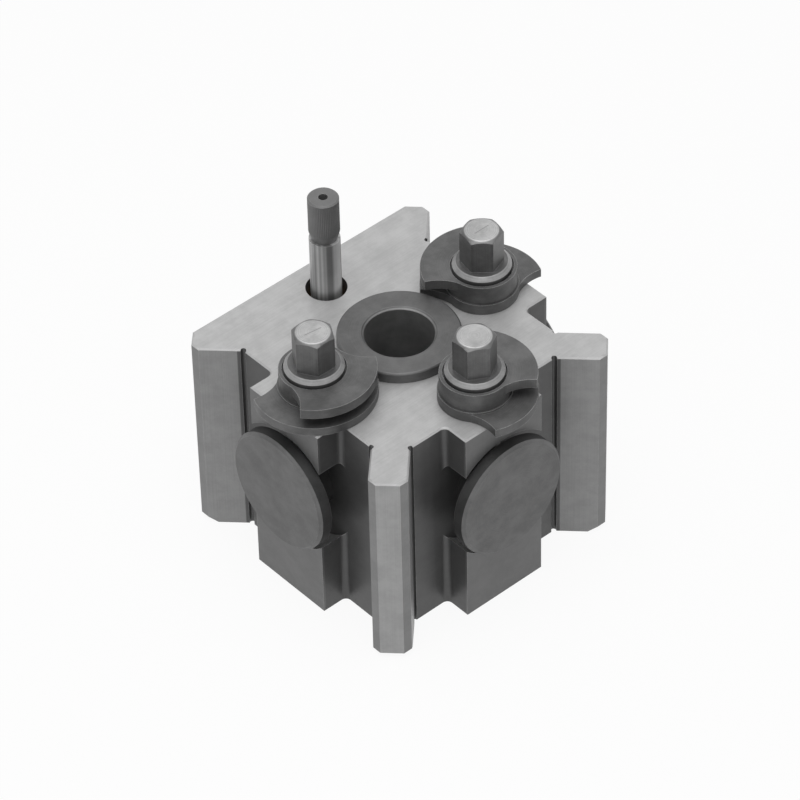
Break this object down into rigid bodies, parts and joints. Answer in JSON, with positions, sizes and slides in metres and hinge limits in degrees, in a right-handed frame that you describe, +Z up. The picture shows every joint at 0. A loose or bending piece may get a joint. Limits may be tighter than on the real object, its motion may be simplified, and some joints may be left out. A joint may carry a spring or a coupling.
{
  "type": "lathe tool post",
  "caption": "Quick-change tool post: square vee-ribbed steel block, centre bore, three eccentric spindles with lobed discs drawing in round-headed bolts, sprung index pin",
  "frame": {"origin": "centre bore axis on the base plane", "axes": "+Z up along the centre bore; stations face -X, -Y and +X; the plain side with the index pin faces +Y"},
  "size_m": [0.1076, 0.1005, 0.1108],
  "materials": {
    "ground_steel": "satin ground",
    "blackened_steel": "blackened, satin",
    "bright_steel": "polished",
    "spring_steel": "drawn wire",
    "bronze": "turned"
  },
  "bodies": {
    "post": {"post_body": "ground_steel", "centre_bush": "blackened_steel", "spindle_bush_upper_left": "bronze", "spindle_bush_lower_left": "bronze", "thrust_washer_left": "bright_steel", "spindle_bush_upper_front": "bronze", "spindle_bush_lower_front": "bronze", "thrust_washer_front": "bright_steel", "spindle_bush_upper_right": "bronze", "spindle_bush_lower_right": "bronze", "thrust_washer_right": "bright_steel", "index_guide": "bronze"},
    "index_plunger": {"index_pin": "bright_steel", "index_knob": "blackened_steel", "index_collar": "bright_steel", "index_spring": "spring_steel"},
    "spindle_left": {"clamp_spindle_left": "bright_steel", "lobe_disc_lower_left": "blackened_steel", "lobe_disc_upper_left": "blackened_steel", "disc_dowel_left": "bright_steel", "spindle_clip_left": "spring_steel"},
    "bolt_left": {"draw_bolt_left": "blackened_steel", "return_spring_left": "spring_steel"},
    "spindle_front": {"clamp_spindle_front": "bright_steel", "lobe_disc_lower_front": "blackened_steel", "lobe_disc_upper_front": "blackened_steel", "disc_dowel_front": "bright_steel", "spindle_clip_front": "spring_steel"},
    "bolt_front": {"draw_bolt_front": "blackened_steel", "return_spring_front": "spring_steel"},
    "spindle_right": {"clamp_spindle_right": "bright_steel", "lobe_disc_lower_right": "blackened_steel", "lobe_disc_upper_right": "blackened_steel", "disc_dowel_right": "bright_steel", "spindle_clip_right": "spring_steel"},
    "bolt_right": {"draw_bolt_right": "blackened_steel", "return_spring_right": "spring_steel"}
  },
  "joints": [
    {"name": "turn_left", "type": "hinge", "parent": "post", "child": "spindle_left", "pos_m": [-0.0344, 0, 0.074], "axis": [0, 0, 1], "range_deg": [-111, 0]},
    {"name": "draw_left", "type": "slide", "parent": "post", "child": "bolt_left", "axis": [-1, 0, 0], "range_m": [-0.00328, 0], "deforming": ["return_spring_left"]},
    {"name": "turn_front", "type": "hinge", "parent": "post", "child": "spindle_front", "pos_m": [0, -0.0344, 0.074], "axis": [0, 0, 1], "range_deg": [-111, 0]},
    {"name": "draw_front", "type": "slide", "parent": "post", "child": "bolt_front", "axis": [0, -1, 0], "range_m": [-0.00328, 0], "deforming": ["return_spring_front"]},
    {"name": "turn_right", "type": "hinge", "parent": "post", "child": "spindle_right", "pos_m": [0.0344, 0, 0.074], "axis": [0, 0, 1], "range_deg": [-111, 0]},
    {"name": "draw_right", "type": "slide", "parent": "post", "child": "bolt_right", "axis": [1, 0, 0], "range_m": [-0.00328, 0], "deforming": ["return_spring_right"]},
    {"name": "index_press", "type": "slide", "parent": "post", "child": "index_plunger", "axis": [0, 0, 1], "range_m": [-0.008, 0], "stiffness_N_per_m": 1200, "springref_m": 0.004, "deforming": ["index_spring"]}
  ],
  "couplings": [
    {"joint": "turn_left", "follows": "draw_left", "rad_per_m": 585.93},
    {"joint": "turn_front", "follows": "draw_front", "rad_per_m": 585.93},
    {"joint": "turn_right", "follows": "draw_right", "rad_per_m": 585.93}
  ]
}
